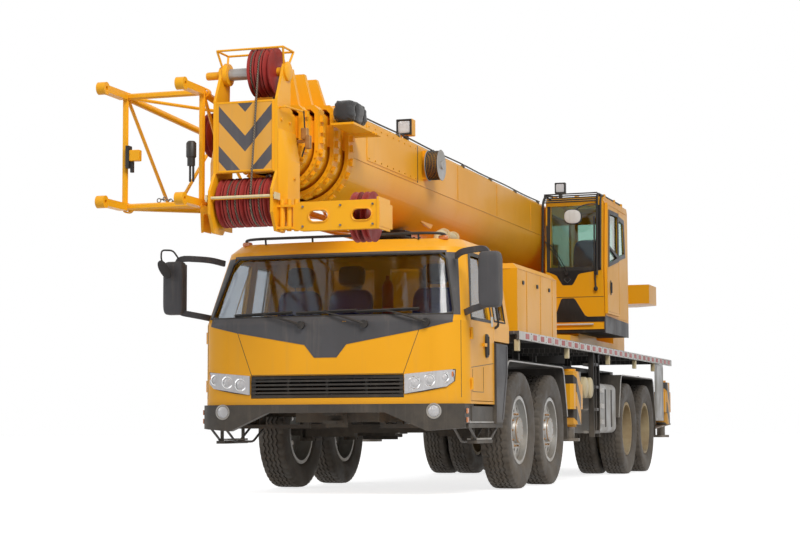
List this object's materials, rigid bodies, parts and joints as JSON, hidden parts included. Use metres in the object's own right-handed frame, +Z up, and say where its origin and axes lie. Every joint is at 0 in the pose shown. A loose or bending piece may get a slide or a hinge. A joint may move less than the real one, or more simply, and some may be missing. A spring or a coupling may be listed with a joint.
{
  "type": "mobile crane",
  "caption": "Truck crane with telescopic boom, stowed lattice jib, outriggers, carrier cab and crane operator's cab.",
  "frame": {"origin": "on the ground at the centre of the model's bounding box, boom stowed forwards", "axes": "+Z up, front of the vehicle towards -Y, its left side towards +X"},
  "size_m": [3.48, 14.285, 3.9649],
  "materials": {
    "paint": "satin crane yellow",
    "dark_frame": "satin black chassis paint",
    "dark_trim": "moulded dark grey",
    "tyre": "ribbed rubber",
    "rim": "silver paint",
    "rim_cream": "cream paint",
    "glass": "tinted",
    "lens": "clear lens",
    "interior": "cab lining and seats",
    "sheave": "red cast nylon",
    "tread_plate": "chequer plate",
    "rod_chrome": "ground rod",
    "steel": "oiled steel",
    "silver": "sheet aluminium",
    "tarpaulin": "black coated sheet"
  },
  "bodies": {
    "carrier": {"chassis_frame": "dark_frame", "axles": "dark_frame", "deck": "tread_plate", "cab_shell": "paint", "cab_glass": "glass", "cab_interior": "interior", "bumper": "dark_trim", "grille": "dark_trim", "lamps": "lens", "mirrors": "dark_trim", "engine_hood": "paint", "engine": "steel", "mudguards": "dark_frame", "side_equipment": "silver"},
    "knuckle_1_left": {"knuckle_1_left": "dark_frame"},
    "knuckle_1_right": {"knuckle_1_right": "dark_frame"},
    "knuckle_2_left": {"knuckle_2_left": "dark_frame"},
    "knuckle_2_right": {"knuckle_2_right": "dark_frame"},
    "wheel_1_left": {"tyre_1_left": "tyre", "rim_1_left": "rim"},
    "wheel_1_right": {"tyre_1_right": "tyre", "rim_1_right": "rim"},
    "wheel_2_left": {"tyre_2_left": "tyre", "rim_2_left": "rim"},
    "wheel_2_right": {"tyre_2_right": "tyre", "rim_2_right": "rim"},
    "wheel_3_left": {"tyre_3_left": "tyre", "rim_3_left": "rim_cream"},
    "wheel_3_right": {"tyre_3_right": "tyre", "rim_3_right": "rim_cream"},
    "wheel_4_left": {"tyre_4_left": "tyre", "rim_4_left": "rim_cream"},
    "wheel_4_right": {"tyre_4_right": "tyre", "rim_4_right": "rim_cream"},
    "cab_door_left": {"cab_door_left": "paint"},
    "cab_door_right": {"cab_door_right": "paint"},
    "beam_front_left": {"outrigger_beam_front_left": "paint"},
    "jack_front_left": {"outrigger_jack_front_left": "steel"},
    "beam_front_right": {"outrigger_beam_front_right": "paint"},
    "jack_front_right": {"outrigger_jack_front_right": "steel"},
    "beam_rear_left": {"outrigger_beam_rear_left": "paint"},
    "jack_rear_left": {"outrigger_jack_rear_left": "steel"},
    "beam_rear_right": {"outrigger_beam_rear_right": "paint"},
    "jack_rear_right": {"outrigger_jack_rear_right": "steel"},
    "upper": {"turntable": "paint", "counterweight": "paint", "winches": "steel", "crane_cab_shell": "paint", "crane_cab_glass": "glass"},
    "crane_cab_door": {"crane_cab_door": "paint"},
    "boom": {"boom_base": "paint", "boom_bundle": "tarpaulin", "jib": "paint"},
    "boom_2": {"boom_section_2": "paint"},
    "boom_3": {"boom_section_3": "paint"},
    "boom_4": {"boom_section_4": "paint"},
    "boom_5": {"boom_section_5": "paint", "head_sheaves": "sheave"},
    "luff_barrel": {"luff_barrel": "paint"},
    "luff_rod": {"luff_rod": "rod_chrome"}
  },
  "joints": [
    {"name": "steer_1_left", "type": "hinge", "parent": "carrier", "child": "knuckle_1_left", "pos_m": [1.01, -2.5575, 0.613], "axis": [0, 0, 1], "range_deg": [-32, 32]},
    {"name": "steer_1_right", "type": "hinge", "parent": "carrier", "child": "knuckle_1_right", "pos_m": [-1.01, -2.5575, 0.613], "axis": [0, 0, 1], "range_deg": [-32, 32]},
    {"name": "steer_2_left", "type": "hinge", "parent": "carrier", "child": "knuckle_2_left", "pos_m": [1.01, -1.1625, 0.613], "axis": [0, 0, 1], "range_deg": [-23.04, 23.04]},
    {"name": "steer_2_right", "type": "hinge", "parent": "carrier", "child": "knuckle_2_right", "pos_m": [-1.01, -1.1625, 0.613], "axis": [0, 0, 1], "range_deg": [-23.04, 23.04]},
    {"name": "roll_1_left", "type": "hinge", "parent": "knuckle_1_left", "child": "wheel_1_left", "pos_m": [1.22, -2.5575, 0.613], "axis": [1, 0, 0], "continuous": true},
    {"name": "roll_1_right", "type": "hinge", "parent": "knuckle_1_right", "child": "wheel_1_right", "pos_m": [-1.22, -2.5575, 0.613], "axis": [1, 0, 0], "continuous": true},
    {"name": "roll_2_left", "type": "hinge", "parent": "knuckle_2_left", "child": "wheel_2_left", "pos_m": [1.22, -1.1625, 0.613], "axis": [1, 0, 0], "continuous": true},
    {"name": "roll_2_right", "type": "hinge", "parent": "knuckle_2_right", "child": "wheel_2_right", "pos_m": [-1.22, -1.1625, 0.613], "axis": [1, 0, 0], "continuous": true},
    {"name": "roll_3_left", "type": "hinge", "parent": "carrier", "child": "wheel_3_left", "pos_m": [1.22, 3.3625, 0.613], "axis": [1, 0, 0], "continuous": true},
    {"name": "roll_3_right", "type": "hinge", "parent": "carrier", "child": "wheel_3_right", "pos_m": [-1.22, 3.3625, 0.613], "axis": [1, 0, 0], "continuous": true},
    {"name": "roll_4_left", "type": "hinge", "parent": "carrier", "child": "wheel_4_left", "pos_m": [1.22, 4.7075, 0.613], "axis": [1, 0, 0], "continuous": true},
    {"name": "roll_4_right", "type": "hinge", "parent": "carrier", "child": "wheel_4_right", "pos_m": [-1.22, 4.7075, 0.613], "axis": [1, 0, 0], "continuous": true},
    {"name": "open_cab_door_left", "type": "hinge", "parent": "carrier", "child": "cab_door_left", "pos_m": [1.369, -4.4675, 1.4], "axis": [0, 0, -1], "range_deg": [0, 70]},
    {"name": "open_cab_door_right", "type": "hinge", "parent": "carrier", "child": "cab_door_right", "pos_m": [-1.369, -4.4675, 1.4], "axis": [0, 0, 1], "range_deg": [0, 70]},
    {"name": "extend_front_left", "type": "slide", "parent": "carrier", "child": "beam_front_left", "axis": [1, 0, 0], "range_m": [0, 1.8]},
    {"name": "lower_front_left", "type": "slide", "parent": "beam_front_left", "child": "jack_front_left", "axis": [0, 0, -1], "range_m": [0, 0.47]},
    {"name": "extend_front_right", "type": "slide", "parent": "carrier", "child": "beam_front_right", "axis": [-1, 0, 0], "range_m": [0, 1.8]},
    {"name": "lower_front_right", "type": "slide", "parent": "beam_front_right", "child": "jack_front_right", "axis": [0, 0, -1], "range_m": [0, 0.47]},
    {"name": "extend_rear_left", "type": "slide", "parent": "carrier", "child": "beam_rear_left", "axis": [1, 0, 0], "range_m": [0, 1.8]},
    {"name": "lower_rear_left", "type": "slide", "parent": "beam_rear_left", "child": "jack_rear_left", "axis": [0, 0, -1], "range_m": [0, 0.47]},
    {"name": "extend_rear_right", "type": "slide", "parent": "carrier", "child": "beam_rear_right", "axis": [-1, 0, 0], "range_m": [0, 1.8]},
    {"name": "lower_rear_right", "type": "slide", "parent": "beam_rear_right", "child": "jack_rear_right", "axis": [0, 0, -1], "range_m": [0, 0.47]},
    {"name": "slew", "type": "hinge", "parent": "carrier", "child": "upper", "pos_m": [0, 2.7425, 1.65], "axis": [0, 0, 1], "continuous": true},
    {"name": "slide_crane_cab_door", "type": "slide", "parent": "upper", "child": "crane_cab_door", "axis": [0, 1, 0], "range_m": [0, 0.7]},
    {"name": "luff", "type": "hinge", "parent": "upper", "child": "boom", "pos_m": [0, 4.4425, 3.06], "axis": [-1, 0, 0], "range_deg": [0, 80]},
    {"name": "telescope", "type": "slide", "parent": "boom", "child": "boom_2", "axis": [0, -1, 0], "range_m": [0, 8.05]},
    {"name": "telescope_3", "type": "slide", "parent": "boom_2", "child": "boom_3", "axis": [0, -1, 0], "range_m": [0, 8.05]},
    {"name": "telescope_4", "type": "slide", "parent": "boom_3", "child": "boom_4", "axis": [0, -1, 0], "range_m": [0, 8.05]},
    {"name": "telescope_5", "type": "slide", "parent": "boom_4", "child": "boom_5", "axis": [0, -1, 0], "range_m": [0, 8.05]},
    {"name": "luff_barrel_swing", "type": "hinge", "parent": "upper", "child": "luff_barrel", "pos_m": [0, 2.7025, 1.99], "axis": [-1, 0, 0], "range_deg": [0, 83.6]},
    {"name": "luff_rod_out", "type": "slide", "parent": "luff_barrel", "child": "luff_rod", "axis": [0, -0.9827, 0.185], "range_m": [0, 2.63]}
  ],
  "couplings": [
    {"joint": "steer_1_right", "follows": "steer_1_left", "ratio": 1},
    {"joint": "steer_2_left", "follows": "steer_1_left", "ratio": 0.7},
    {"joint": "steer_2_right", "follows": "steer_1_left", "ratio": 0.7},
    {"joint": "telescope_3", "follows": "telescope", "ratio": 1},
    {"joint": "telescope_4", "follows": "telescope", "ratio": 1},
    {"joint": "telescope_5", "follows": "telescope", "ratio": 1},
    {"joint": "luff_barrel_swing", "follows": "luff", "ratio": 1.0429},
    {"joint": "luff_rod_out", "follows": "luff", "m_per_rad": 1.8712}
  ]
}
